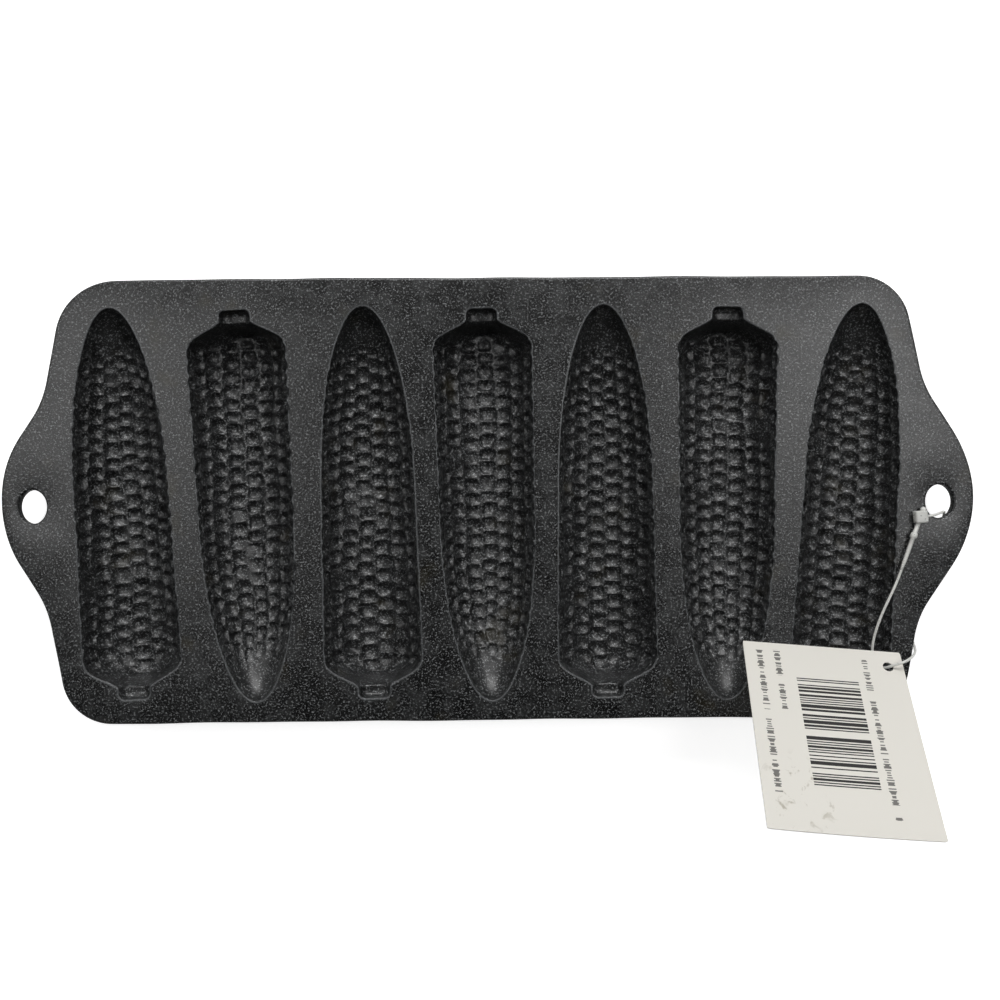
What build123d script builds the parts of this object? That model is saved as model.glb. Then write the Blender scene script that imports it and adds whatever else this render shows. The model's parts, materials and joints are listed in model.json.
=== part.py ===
from build123d import *
import math
import os

# Corn stick pan: one iron casting with cob-shaped cavities, lying on its back with the cavities
# up, and a card tag tied through the hole of its right ear with a moulded plastic loop.
# Millimetres. Origin under the middle of the pan, +X along its length, +Z up out of the cavities.

os.makedirs("parts", exist_ok=True)

# Plate: the flat web that joins the cavities
pan_length = 340.0
plate_width = 155.0
plate_thickness = 3.5
plate_corner_radius = 18.0
plate_edge_round = 1.0
flank_lean_deg = 11.0

# Ears at both ends, drawn out of the plate in one S-curve; the reach is counted from the last cob
ear_reach = 42.2
ear_slant_deg = 33.0
ear_tip_radius = 43.0
ear_root_radius = 35.0
ear_root_width = 76.5

# Oval hanging hole in each ear
hole_length = 11.8
hole_width = 9.8
hole_edge_distance = 10.9
hole_drop = 2.1

# Cavities: a half cob each, turned end for end from one to the next, between flat strips of plate
cob_strip_width = 9.0
cob_end_margin = 8.4
cob_tip_length = 66.0
cob_tip_radius_share = 0.955
cob_shoulder_length = 11.2
cob_shoulder_corner_share = 0.6
cob_stem_radius = 5.3
cob_stem_length = 4.6
cob_set_back = 1.7
cob_leans_deg = (3.5, 3.1, 1.5, 1.3, 0.4, -0.5, -3.9)
cob_shift_shares = (0.0, 0.017, 0.031, 0.007, -0.015, -0.012, 0.0)
cob_count = len(cob_leans_deg)
cob_tip_station_shares = (0.02, 0.07, 0.15, 0.27, 0.43, 0.64, 1.0)
cob_shoulder_shares = ((0.0, 1.0), (0.25, 0.95), (0.45, 0.82), (0.75, 0.31), (1.0, 0.0))
wall_thickness = 3.0
bulge_shoulder_round = 9.5
bulge_stem_round = 1.5
foot_flat_depth = 0.15

# Kernels: shallow round dimples in rows round the cavity's wall, as on a whole cob cut in half
kernel_rows_around = 16
kernel_rows = kernel_rows_around // 2 + 1
kernel_row_angle_deg = 360 / kernel_rows_around
kernel_pitch = 5.05
kernel_ball_radius = 3.6
kernel_depth = 0.7
kernel_smooth_tip = 12.0
kernel_smooth_shoulder = 9.5

# Card tag
tag_width = 54.6
tag_height = 68.1
tag_thickness = 0.4
tag_corner_radius = 0.6
tag_hole_radius = 1.8
tag_hole_to_side = 5.3
tag_hole_to_top = 6.2
tag_tilt_deg = 42.0
tag_turn_deg = -4.8
tag_hole_inward = 21.7
tag_hole_down = 56.7
tag_hole_rise = 8.0

# Loop fastener: lock head, barbed tail and thin strand, moulded in one strip
head_length = 4.3
head_width = 4.3
head_height = 3.2
head_round = 0.6
head_inward = 7.6
head_down = 5.4
head_turn_deg = 5.0
head_clearance = 0.3
barb_turn_deg = -20.4
barb_fit_clearance = 0.05
barb_tip_radius = 1.1
barb_tip_length = 0.9
barb_tip_clearance = 0.05
barb_shank_radius = 0.9
barb_shank_length = 3.65
barb_bead_radius = 1.22
barb_bead_length = 2.1
barb_bead_slope = 0.4
barb_neck_radius = 1.0
barb_neck_end_radius = 0.72
barb_neck_length = 8.9
barb_taper_length = 3.0
strand_diameter = 0.9
strand_bend_share = 0.45

# How far a cutting tool runs past the face that it opens
overrun = 1.0

# What follows from the sizes above
cob_pitch = (pan_length - 2 * ear_reach) / (cob_count - 1)
cob_radius = (cob_pitch - cob_strip_width) / 2
cob_length = plate_width - 2 * cob_end_margin - cob_stem_length
plate_top = cob_radius + wall_thickness - foot_flat_depth
plate_bottom = plate_top - plate_thickness
hole_x = pan_length / 2 - hole_edge_distance


def plate_outline():
    """The plate's outline: the right flank and ear from top to bottom, then the left one."""
    slant = math.radians(ear_slant_deg)
    lean = math.radians(flank_lean_deg)
    apex = pan_length / 2 + ear_tip_radius * (1 / math.cos(slant) - 1)
    half_width = plate_width / 2
    half_root = ear_root_width / 2
    root_x = apex - half_root * math.tan(slant)
    corner_x = root_x - (half_width - half_root) * math.tan(lean)
    right = [
        (corner_x, half_width),
        (root_x, half_root),
        (apex, 0),
        (root_x, -half_root),
        (corner_x, -half_width),
    ]
    left = [(-x, -y) for x, y in right]
    radii = [plate_corner_radius, ear_root_radius, ear_tip_radius, ear_root_radius, plate_corner_radius]
    return FilletPolyline(*right, *left, radius=radii + radii, close=True)


def plate():
    """The web with its two ears, before anything is cut out of it."""
    blank = extrude(make_face(plate_outline()), plate_thickness)
    rims = blank.faces().filter_by(Axis.Z).edges()
    return Pos(0, 0, plate_bottom) * fillet(rims, plate_edge_round)


def bulge():
    """The half cob that hangs under the plate, smooth and one wall larger than its cavity."""
    tip_radius = cob_radius * cob_tip_radius_share + wall_thickness
    radius = cob_radius + wall_thickness
    stem_radius = cob_stem_radius + wall_thickness
    stem_end = cob_length + cob_stem_length + wall_thickness
    shoulder_at = cob_length - cob_shoulder_length * cob_shoulder_corner_share + wall_thickness
    reach = cob_tip_length + wall_thickness
    tip = EllipticalCenterArc((cob_tip_length, 0), reach, tip_radius, 90, arc_size=90)
    side = FilletPolyline(
        (cob_tip_length, tip_radius),
        (shoulder_at, radius),
        (cob_length + wall_thickness, stem_radius),
        (stem_end, stem_radius),
        radius=[bulge_shoulder_round, bulge_stem_round],
    )
    end = Polyline((stem_end, stem_radius), (stem_end, 0), (-wall_thickness, 0))
    return revolve(make_face([tip, side, end]), Axis.X, -180)


def cob_radius_at(along):
    """The cavity's radius at a distance from its tip, as far as its shoulder."""
    tip_radius = cob_radius * cob_tip_radius_share
    if along < cob_tip_length:
        return tip_radius * math.sqrt(1 - (1 - along / cob_tip_length) ** 2)
    full_at = cob_length - cob_shoulder_length
    return tip_radius + (cob_radius - tip_radius) * (along - cob_tip_length) / (full_at - cob_tip_length)


def cob_stations():
    """Distances from the tip, each with the cavity's radius there, from the tip to the stem's end."""
    stations = []
    for share in cob_tip_station_shares:
        along = cob_tip_length * share
        stations.append((along, cob_radius_at(along)))
    shoulder_start = cob_length - cob_shoulder_length
    for along_share, radius_share in cob_shoulder_shares:
        along = shoulder_start + cob_shoulder_length * along_share
        stations.append((along, cob_stem_radius + (cob_radius - cob_stem_radius) * radius_share))
    stations.append((cob_length + cob_stem_length, cob_stem_radius))
    return stations


def ring_points(along, radius):
    """The corners of the cob's section, which has one flat side for each row of kernels."""
    corner_radius = radius / math.cos(math.radians(kernel_row_angle_deg / 2))
    places = range(kernel_rows_around)
    angles = [math.radians(kernel_row_angle_deg * (place + 1 / 2)) for place in places]
    return [(along, corner_radius * math.sin(a), -corner_radius * math.cos(a)) for a in angles]


def cob_plug():
    """A whole cob in flat strips, a row of kernels wide, closed to a point at its tip."""
    rings = [ring_points(along, radius) for along, radius in cob_stations()]
    count = len(rings[0])
    faces = [Face(Wire.make_polygon(rings[-1]))]
    for corner in range(count):
        after = (corner + 1) % count
        faces.append(Face(Wire.make_polygon([(0, 0, 0), rings[0][corner], rings[0][after]])))
        for near, far in zip(rings, rings[1:]):
            strip = [near[corner], far[corner], far[after], near[after]]
            faces.append(Face(Wire.make_polygon(strip)))
    return Solid(Shell(faces))


def kernel_balls():
    """The balls that press one cavity's kernels into its wall, row by row."""
    balls = []
    patterned = cob_length - kernel_smooth_tip - kernel_smooth_shoulder
    count = int(patterned / kernel_pitch)
    for row in range(kernel_rows):
        angle = math.radians((row - (kernel_rows - 1) / 2) * kernel_row_angle_deg)
        stagger = kernel_pitch / 2 * (row % 2)
        for place in range(count):
            along = kernel_smooth_tip + stagger + kernel_pitch * (place + 1 / 2)
            size_share = cob_radius_at(along) / cob_radius
            ball_radius = kernel_ball_radius * size_share
            off_axis = cob_radius_at(along) + kernel_depth * size_share - ball_radius
            ball = Sphere(ball_radius)
            balls.append(Pos(along, off_axis * math.sin(angle), -off_axis * math.cos(angle)) * ball)
    return balls


def cob_place(index):
    """Where a cob's tip goes: stems point down the plate on even places and up it on odd ones."""
    middle = cob_pitch * (index - (cob_count - 1) / 2 + cob_shift_shares[index])
    lean = cob_leans_deg[index]
    whole = cob_length + cob_stem_length
    if index % 2 == 0:
        turn = Rot(0, 0, lean - 90)
    else:
        turn = Rot(0, 0, lean + 90)
    return Pos(middle, -cob_set_back, plate_top) * turn * Pos(-whole / 2, 0, 0)


def hanging_hole(side):
    """The oval hole in one ear; side is 1 for the right ear and -1 for the left one."""
    oval = Ellipse(hole_width / 2, hole_length / 2)
    tool = extrude(oval, plate_thickness + 2 * overrun)
    return Pos(side * hole_x, -hole_drop, plate_bottom - overrun) * tool


def at_right_hole(across, along, rise):
    """A place measured from the middle of the right ear's hole, level with the top of the plate."""
    return Pos(hole_x + across, along - hole_drop, plate_top + rise)


def pan_casting():
    """The whole pan in one piece of iron."""
    places = [cob_place(index) for index in range(cob_count)]
    casting = plate() + [place * bulge() for place in places]
    cob = cob_plug() + kernel_balls()
    cavities = [place * cob for place in places]
    casting = casting - cavities - [hanging_hole(1), hanging_hole(-1)]
    feet = Pos(0, 0, -overrun / 2) * Box(pan_length, plate_width, overrun)
    return casting - feet


def tag_place():
    """The middle of the tag's punched hole, with the card's own X, Y and front in it."""
    hole = at_right_hole(-tag_hole_inward, -tag_hole_down, tag_hole_rise)
    return hole * Rot(0, 0, tag_turn_deg) * Rot(-tag_tilt_deg, 0, 0)


def hang_tag():
    """The card, with its hole near its upper right corner."""
    card = Rectangle(tag_width, tag_height)
    card = Pos(tag_hole_to_side - tag_width / 2, tag_hole_to_top - tag_height / 2) * card
    card = fillet(card.vertices(), tag_corner_radius)
    card = card - Circle(tag_hole_radius)
    return tag_place() * Pos(0, 0, -tag_thickness / 2) * extrude(card, tag_thickness)


def head_middle():
    """The middle of the lock head, a small clearance above the ear."""
    return at_right_hole(-head_inward, -head_down, head_clearance + head_height / 2)


def head_place():
    """The lock head's own frame, with the strand leaving along its +X."""
    return head_middle() * Rot(0, 0, head_turn_deg)


def barb_place():
    """The barb's own frame at the middle of the head, with the barb leaving along its -Y."""
    return head_middle() * Rot(0, 0, barb_turn_deg)


def loop_lock_head():
    """The socket that the barbed tail is pushed right through."""
    block = Box(head_width, head_length, head_height)
    block = head_place() * fillet(block.edges(), head_round)
    bore = Cylinder(barb_shank_radius + barb_fit_clearance, head_length * 2)
    return block - barb_place() * Rot(90, 0, 0) * bore


def loop_barb():
    """The thick tail: tip and shank through the socket, bead, neck and the taper to the strand."""
    askew = math.radians(head_turn_deg - barb_turn_deg)
    out_of_head = head_length / 2 / math.cos(askew) + barb_tip_radius * math.tan(askew)
    tip_start = out_of_head + barb_tip_clearance
    tip_end = tip_start + barb_tip_length
    bead_start = head_length / 2 + barb_shank_length
    bead_end = bead_start + barb_bead_length
    neck_end = bead_end + barb_neck_length
    outline = Polyline(
        (0, tip_end),
        (barb_shank_radius, tip_end),
        (barb_tip_radius, tip_start),
        (barb_shank_radius, tip_start),
        (barb_shank_radius, -bead_start),
        (barb_bead_radius, -bead_start - barb_bead_slope),
        (barb_bead_radius, -bead_end + barb_bead_slope),
        (barb_neck_radius, -bead_end),
        (barb_neck_end_radius, -neck_end),
        (strand_diameter / 2, -neck_end - barb_taper_length),
        (0, -neck_end - barb_taper_length),
        close=True,
    )
    return barb_place() * revolve(make_face(outline), Axis.Y, 360)


# The strand's route, chosen by hand and measured from the middle of the right ear's hole at the top
# of the plate: from the barb over the last cavity, up through the tag's hole, over the card's corner,
# round the pan's flank, back under the ear and up its hole.
strand_route = [
    (-15.7, -27.2, 1.95),
    (-18.2, -31.8, 2.95),
    (-21.2, -37.3, 3.55),
    (-23.5, -43.3, 3.15),
    (-24.7, -48.8, 2.25),
    (-24.9, -53.3, 1.95),
    (-24.1, -56.5, 3.65),
    (-22.5, -57.4, 6.65),
    (-20.5, -55.9, 9.35),
    (-16.9, -54.5, 10.85),
    (-11.9, -53.4, 10.75),
    (-6.9, -52.1, 8.35),
    (-3.3, -50.2, 4.15),
    (-1.9, -47.1, -1.25),
    (-2.2, -41.9, -6.05),
    (-2.5, -34.5, -8.85),
    (-1.5, -26.3, -9.65),
    (0.3, -18.5, -9.95),
    (2.1, -11.7, -9.75),
    (2.8, -6.9, -8.05),
    (2.2, -4.3, -5.05),
    (1.2, -3.6, -1.65),
    (-0.6, -4.0, 1.25),
    (-3.2, -5.01, 1.9),
]


def run_lengths(route):
    """The distance from each point of a route to the next."""
    return [(Vector(b) - Vector(a)).length for a, b in zip(route, route[1:])]


def corner_radii(route):
    """The largest arc at each inner point of a route that its two runs leave room for."""
    radii = []
    runs = run_lengths(route)
    for index in range(1, len(route) - 1):
        before = Vector(route[index]) - Vector(route[index - 1])
        after = Vector(route[index + 1]) - Vector(route[index])
        turn = math.radians(before.get_angle(after))
        shorter = min(runs[index - 1], runs[index])
        radii.append(strand_bend_share * shorter / math.tan(turn / 2))
    return radii


def strand_ends():
    """Where the strand leaves the barb and where it runs into the lock head's side."""
    length = barb_shank_length + barb_bead_length + barb_neck_length + barb_taper_length
    start = barb_place() * Pos(0, -(head_length / 2 + length), 0)
    finish = head_place() * Pos(head_width / 2, 0, 0)
    return start.position, finish.position


def loop_filament():
    """The thin strand, one tube from the barb back to the lock head."""
    start, finish = strand_ends()
    inner = [tuple(at_right_hole(*point).position) for point in strand_route]
    route = [tuple(start)] + inner + [tuple(finish)]
    radii = corner_radii(route)
    path = FilletPolyline(*route, radius=radii)
    section = Plane(origin=path @ 0, z_dir=path % 0) * Circle(strand_diameter / 2)
    tube = sweep(section, path=path)
    expected = math.pi * (strand_diameter / 2) ** 2 * path.length
    print("strand runs", [round(run, 1) for run in run_lengths(route)])
    print("strand radii", [round(radius, 1) for radius in radii])
    print("strand length", round(path.length, 1))
    print("strand volume", round(tube.volume, 2), "expected", round(expected, 2))
    return tube


export_step(pan_casting(), "parts/pan_casting.step")
export_step(hang_tag(), "parts/hang_tag.step")
export_step(loop_lock_head(), "parts/loop_lock_head.step")
export_step(loop_barb(), "parts/loop_barb.step")
export_step(loop_filament(), "parts/loop_filament.step")
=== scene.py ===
# %% [markdown]
# # A corn stick pan in seasoned cast iron
# The pan is one iron casting. Seven cavities shaped like half corn cobs lie side by side in a flat
# plate, and an ear with a hanging hole stands out at each end. A card tag hangs from the right ear
# on a moulded plastic loop. A measured frame already holds every piece at its real size, so this
# lesson only makes the looks: it never moves or resizes what the frame holds.

# %% Load the frame
import json
import math

import bpy
import numpy as np
from mathutils import Matrix, Vector
from mathutils.geometry import delaunay_2d_cdt


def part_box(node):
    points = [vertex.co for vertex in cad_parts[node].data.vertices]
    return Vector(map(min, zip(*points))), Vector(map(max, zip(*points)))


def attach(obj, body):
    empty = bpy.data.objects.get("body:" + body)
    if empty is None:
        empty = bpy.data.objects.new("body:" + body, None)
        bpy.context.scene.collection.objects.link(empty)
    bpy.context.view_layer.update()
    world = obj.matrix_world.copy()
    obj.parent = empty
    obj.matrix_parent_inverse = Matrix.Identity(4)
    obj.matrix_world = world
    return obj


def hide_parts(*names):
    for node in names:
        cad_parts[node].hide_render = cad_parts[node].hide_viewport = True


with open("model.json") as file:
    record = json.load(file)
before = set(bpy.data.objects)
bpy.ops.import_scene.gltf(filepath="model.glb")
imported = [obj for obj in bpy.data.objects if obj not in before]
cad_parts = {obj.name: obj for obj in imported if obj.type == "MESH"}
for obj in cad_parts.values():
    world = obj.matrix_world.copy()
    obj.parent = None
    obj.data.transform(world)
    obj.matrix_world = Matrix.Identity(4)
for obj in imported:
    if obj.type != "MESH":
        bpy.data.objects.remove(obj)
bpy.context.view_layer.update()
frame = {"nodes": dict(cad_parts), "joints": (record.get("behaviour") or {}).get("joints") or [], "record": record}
MM = 0.001
print("nodes in the frame:", ", ".join(sorted(frame["nodes"])))

# %% [markdown]
# Most sizes are easier to think of in millimetres, and Blender's unit is the metre, so lengths are
# written in millimetres here and multiplied by MM where they enter a mesh. Three heights are read
# from the frame: the top of the plate, its underside and the level that the pan stands on.

# %% Heights that everything else refers to
PLATE_THICKNESS = 3.5
PLATE_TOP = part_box("pan_casting")[1].z / MM
PLATE_BOTTOM = PLATE_TOP - PLATE_THICKNESS
print("the plate lies from", round(PLATE_BOTTOM, 2), "to", round(PLATE_TOP, 2), "mm above the floor")

# %% [markdown]
# Blender keeps an object apart from the data that it shows, which may be a mesh, a curve, a camera
# or a lamp. Two helpers make the pair: one builds a mesh from points and faces, and one gives any
# data an object and links it to the scene.

# %% Helpers for meshes and objects
def new_mesh(name, points, faces):
    """A mesh from points in metres and faces."""
    mesh = bpy.data.meshes.new(name)
    mesh.from_pydata(points, [], faces)
    return mesh


def add_piece(name, data):
    """Links a new object with this data to the scene."""
    piece = bpy.data.objects.new(name, data)
    bpy.context.scene.collection.objects.link(piece)
    return piece


def smooth_shade(mesh, angle):
    """Smooth shading, with edges sharper than this angle left crisp."""
    mesh.polygons.foreach_set("use_smooth", [True] * len(mesh.polygons))
    mesh.set_sharp_from_angle(angle=angle)


# %% [markdown]
# ## Camera
# The reference view looks straight down from 350 mm above the plate. At that distance perspective
# shows: the inner walls of the outer cavities lean into view, and whatever stands up from the plate
# grows. The camera therefore gets the true distance and a lens to match, not a longer lens further
# away. A small roll follows the reference, where the pan lies a third of a degree off level.

# %% Camera
CAMERA_RISE = 350.0
CAMERA_X, CAMERA_Y = 4.9, -0.7
CAMERA_ROLL_DEG = -0.37
LENS = 35.95
SENSOR = 36.0

lens = bpy.data.cameras.new("overhead_lens")
lens.lens = LENS
lens.sensor_width = SENSOR
camera = add_piece("overhead_camera", lens)
camera.location = Vector((CAMERA_X, CAMERA_Y, PLATE_TOP + CAMERA_RISE)) * MM
camera.rotation_euler = (0, 0, math.radians(CAMERA_ROLL_DEG))
bpy.context.scene.camera = camera
print("camera at", [round(value, 4) for value in camera.location], "m")

# %% [markdown]
# ## The tag's loop
# The tag's loop is one moulding: a lock head, a barbed tail and between them a strand less than a
# millimetre thick. The strand is stiff for its size, so it stands in open arcs: from the tail over
# the last cavity, up through the tag's hole, over the card's corner, down round the pan's flank and
# up through the ear's hole into the head's side. Its route is a short list of points, measured from
# the middle of the ear's hole, as in the measured model.

# %% The strand's route, in millimetres from the middle of the right ear's hole
STRAND_ROUTE = (
    (-14.5, -23.96, 1.9), (-15.7, -27.2, 1.95), (-18.2, -31.8, 2.95), (-21.2, -37.3, 3.55),
    (-23.5, -43.3, 3.15), (-24.7, -48.8, 2.25), (-24.9, -53.3, 1.95), (-24.1, -56.5, 3.65),
    (-22.5, -57.4, 6.65), (-20.5, -55.9, 9.35), (-16.9, -54.5, 10.85), (-13.1, -53.4, 7.4),
    (-10.3, -52.5, 3.2), (-8.7, -51.7, -0.8), (-8.0, -50.1, -4.2), (-7.8, -46.9, -7.5),
    (-7.4, -42.4, -9.2), (-6.2, -36.4, -9.7), (-4.2, -29.9, -9.8), (-2.0, -23.7, -9.9),
    (0.3, -18.5, -9.95), (2.4, -14.0, -9.8), (3.8, -9.8, -9.0), (3.9, -6.3, -6.5),
    (2.8, -4.1, -3.0), (1.4, -3.6, 0.2), (-0.6, -4.0, 1.7), (-3.2, -5.01, 1.9),
    (-5.46, -5.21, 1.9),
)

mounts = {mount["name"]: Vector(mount["pos_m"]) for mount in frame["record"]["mounts"]}
strand_points = [mounts["hang_hole_right"] + Vector([value * MM for value in point])
                 for point in STRAND_ROUTE]
print("route of", len(strand_points), "points")

# %% [markdown]
# The tail is the thick end that is pushed through the head: a taper, a neck, a bead and a blunt tip.
# It is straight and round, so a list of distances and radii describes it, as on a lathe. It starts
# at the strand's first point.

# %% The barbed tail
TAIL_TURN_DEG = -20.4
TAIL_SHAPE = (
    (0.0, 0.45), (1.5, 0.53), (3.0, 0.64), (8.0, 0.72), (11.8, 0.8),
    (11.95, 0.98), (12.3, 1.14), (12.9, 1.2), (13.5, 1.14), (13.85, 0.98), (14.0, 0.76),
    (17.3, 0.76), (17.7, 0.88), (21.9, 0.88), (22.0, 1.0), (22.6, 1.02), (23.1, 0.86), (23.4, 0.5),
)
TAIL_SIDES = 20


def turned_rod(name, start, along, shape, sides):
    """A closed round body on a straight axis; shape lists how far along it is how thick, in mm."""
    across = Vector((along.y, -along.x, 0)).normalized()
    upward = across.cross(along)
    points, faces = [start], []
    for distance, radius in shape:
        middle = start + along * distance * MM
        for k in range(sides):
            turn = 2 * math.pi * k / sides
            points.append(middle + (across * math.cos(turn) + upward * math.sin(turn)) * radius * MM)
    points.append(start + along * shape[-1][0] * MM)
    last = len(points) - 1
    for k in range(sides):
        after = (k + 1) % sides
        faces.append([0, 1 + after, 1 + k])
        for ring in range(len(shape) - 1):
            a, b = 1 + ring * sides, 1 + (ring + 1) * sides
            faces.append([a + k, a + after, b + after, b + k])
        faces.append([last, last - sides + k, last - sides + after])
    mesh = new_mesh(name, [tuple(point) for point in points], faces)
    mesh.polygons.foreach_set("use_smooth", [True] * len(faces))
    return add_piece(name, mesh)


tail_turn = math.radians(TAIL_TURN_DEG)
tail_way = Vector((-math.sin(tail_turn), math.cos(tail_turn), 0))
tail = turned_rod("loop_tail", strand_points[0], tail_way, TAIL_SHAPE, TAIL_SIDES)
print("tail", TAIL_SHAPE[-1][0], "mm long")

# %% [markdown]
# The strand follows a NURBS curve of order 3, which turns the short list of points into smooth arcs,
# and a round bevel gives it its thickness. A mesh tube could do this too, but a curve stays easy to
# reshape: each point is one handle.

# %% The strand as a curve, its diameter in metres
STRAND_DIAMETER = 0.0009
CURVE_ORDER, CURVE_STEPS, BEVEL_STEPS = 3, 8, 4


def smooth_curve(name, points, thickness):
    """A round rod along a smooth NURBS line that starts and ends at the first and last point."""
    line = bpy.data.curves.new(name, "CURVE")
    line.dimensions = "3D"
    line.bevel_depth = thickness / 2
    line.bevel_resolution = BEVEL_STEPS
    line.use_fill_caps = True
    spline = line.splines.new("NURBS")
    spline.points.add(len(points) - 1)
    for point, place in zip(spline.points, points):
        point.co = (*place, 1)
    spline.order_u = CURVE_ORDER
    spline.use_endpoint_u = True
    line.resolution_u = CURVE_STEPS
    return add_piece(name, line)


strand = smooth_curve("loop_strand", strand_points, STRAND_DIAMETER)
print("strand", round(STRAND_DIAMETER / MM, 2), "mm thick")

# %% [markdown]
# ## Helpers for colours and nodes
# A colour is written as the hex value that a screen shows. Shaders work with linear light, so one
# function converts it. One more function adds a node, sets its properties, fills its sockets with
# values or with links and hands back its outputs, and every tree below is built with it.

# %% Colour and node helpers
def linear(hex_colour):
    """The linear RGBA of an sRGB colour written as #rrggbb."""
    channels = [int(hex_colour[i:i + 2], 16) / 255 for i in (1, 3, 5)]
    return (*[c / 12.92 if c <= 0.04045 else ((c + 0.055) / 1.055) ** 2.4 for c in channels], 1)


def add_node(tree, kind, inputs=None, **settings):
    """The outputs of a new node; an input is a plain value or the output socket that feeds it."""
    node = tree.nodes.new(kind)
    for name, value in settings.items():
        setattr(node, name, value)
    for key, value in (inputs or {}).items():
        if isinstance(value, bpy.types.NodeSocket):
            tree.links.new(value, node.inputs[key])
        else:
            node.inputs[key].default_value = value
    return node.outputs


print("white is", linear("#ffffff"), "and middle grey is", [round(c, 3) for c in linear("#808080")])

# %% [markdown]
# The nodes that come up often, such as Math and Map Range, get a short function each, so that a
# tree reads as a formula. The same trees could be drawn by hand in the node editor, but a formula
# is quicker to read and to change.

# %% Short names for common nodes
def maths(tree, operation, *values, clamp=False):
    """The output of a Math node over up to three values or sockets."""
    return add_node(tree, "ShaderNodeMath", dict(enumerate(values)), operation=operation, use_clamp=clamp)[0]


def vector_maths(tree, operation, inputs):
    """The outputs of a Vector Math node: a vector first, then a value."""
    return add_node(tree, "ShaderNodeVectorMath", inputs, operation=operation)


def joined(tree, *values):
    """Up to three values as one vector."""
    return add_node(tree, "ShaderNodeCombineXYZ", dict(enumerate(values)))[0]


def parted(tree, vector):
    """The three values of a vector."""
    return add_node(tree, "ShaderNodeSeparateXYZ", {0: vector})


def product(tree, *factors):
    """The product of any number of sockets or values."""
    total = factors[0]
    for factor in factors[1:]:
        total = maths(tree, "MULTIPLY", total, factor)
    return total


def ramp(tree, value, low, high, to_low=0.0, to_high=1.0, smooth=True):
    """Carries a value from the span low to high onto the span to_low to to_high, held at both ends."""
    spans = {"Value": value, "From Min": low, "From Max": high, "To Min": to_low, "To Max": to_high}
    return add_node(tree, "ShaderNodeMapRange", spans,
                    interpolation_type="SMOOTHSTEP" if smooth else "LINEAR")[0]


def noise(tree, place, scale, detail, roughness=0.5):
    """Smooth noise from 0 to 1, about as wide as one over the scale."""
    inputs = {"Vector": place, "Scale": scale, "Detail": detail, "Roughness": roughness}
    return add_node(tree, "ShaderNodeTexNoise", inputs)["Fac"]


def mix(tree, share, first, second):
    """A colour between two, by a share of the second."""
    return add_node(tree, "ShaderNodeMix", {"Factor": share, "A": first, "B": second},
                    data_type="RGBA")["Result"]


def kept_value(tree, name):
    """The value of this name that a mesh keeps on its points, for a shader."""
    return add_node(tree, "ShaderNodeAttribute", attribute_name=name)["Fac"]


print("short names: maths, vector_maths, joined, parted, product, ramp, noise, mix, kept_value")

# %% [markdown]
# Every material here starts with an empty tree and ends in one Principled shader, whose normal is
# bent by a bump where the surface is rough.

# %% Helpers for materials
def bumps(tree, height, distance, strength):
    """A normal that makes a surface look raised where height is more; distance in mm."""
    inputs = {"Height": height, "Distance": distance * MM, "Strength": strength}
    return add_node(tree, "ShaderNodeBump", inputs)[0]


def new_material(name):
    """A material and its node tree, which starts empty."""
    material = bpy.data.materials.new(name)
    material.use_nodes = True
    material.node_tree.nodes.clear()
    return material, material.node_tree


def principled(material, inputs):
    """Ends a material's tree with one Principled shader and returns the material."""
    shader = add_node(material.node_tree, "ShaderNodeBsdfPrincipled", inputs)
    add_node(material.node_tree, "ShaderNodeOutputMaterial", {"Surface": shader[0]})
    return material


print("materials before the first:", len(bpy.data.materials))

# %% [markdown]
# ## Seasoned cast iron
# The pan is poured in a sand mould, so its skin is a fine grain of sand prints, less than a
# millimetre wide. It is then coated with oil and baked, which leaves a thin black film with a satin
# gloss. From above each print shows as a light or a dark point, so the grain is mostly colour, with
# a little bump that breaks up the reflections. The light points are partly the grain's own tone and
# partly painted glints, standing in for the sparkle of its facets: bump alone would need to be so
# strong that the iron looked like leather. The rims are painted lighter: partly where hands have
# rubbed them, partly a painted highlight where the rolled edge catches the light. Soot makes the
# cavities duller, and a few faint olive stains remain where oil has pooled.

# %% Material: cast iron, sand cast and oil seasoned
# The light colour is for the sand grain's light points: partly the grain's own tone, partly painted glints of its
# facets.
IRON_DARK, IRON_SPECK_AND_GLINT = "#030303", "#8a8c8d"
IRON_STAIN = "#332e1c"
# The rim colour is lighter: partly rubbed wear, partly a painted highlight where the rolled rim catches the light.
IRON_WEAR_AND_HIGHLIGHT = "#707375"
IRON_SHEEN = 0.6
IRON_GLOSS = (0.22, 0.32)
CAVITY_ROUGHER = 0.06
GRAIN_WIDTH, GRAIN_HEIGHT = 0.7, 0.06
GRAIN_DETAIL, GRAIN_ROUGHNESS = 3.0, 0.75
GRAIN_CUT = (0.545, 0.635)
MOTTLE_WIDTH, MOTTLE_DETAIL, MOTTLE_ROUGHNESS = 6.0, 4.0, 0.6
MOTTLE_CUT = (0.3, 0.7)
MOTTLE_SHARE = 0.08
STAIN_WIDTH, STAIN_DETAIL = 15.0, 3.0
STAIN_CUT = (0.6, 0.76)
STAIN_STRENGTH = 0.45
# Least share of the lighter rim colour (rubbed wear and painted highlight) between the grain's light points.
RIM_LEAST_WEAR_AND_HIGHLIGHT = 0.4


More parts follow.
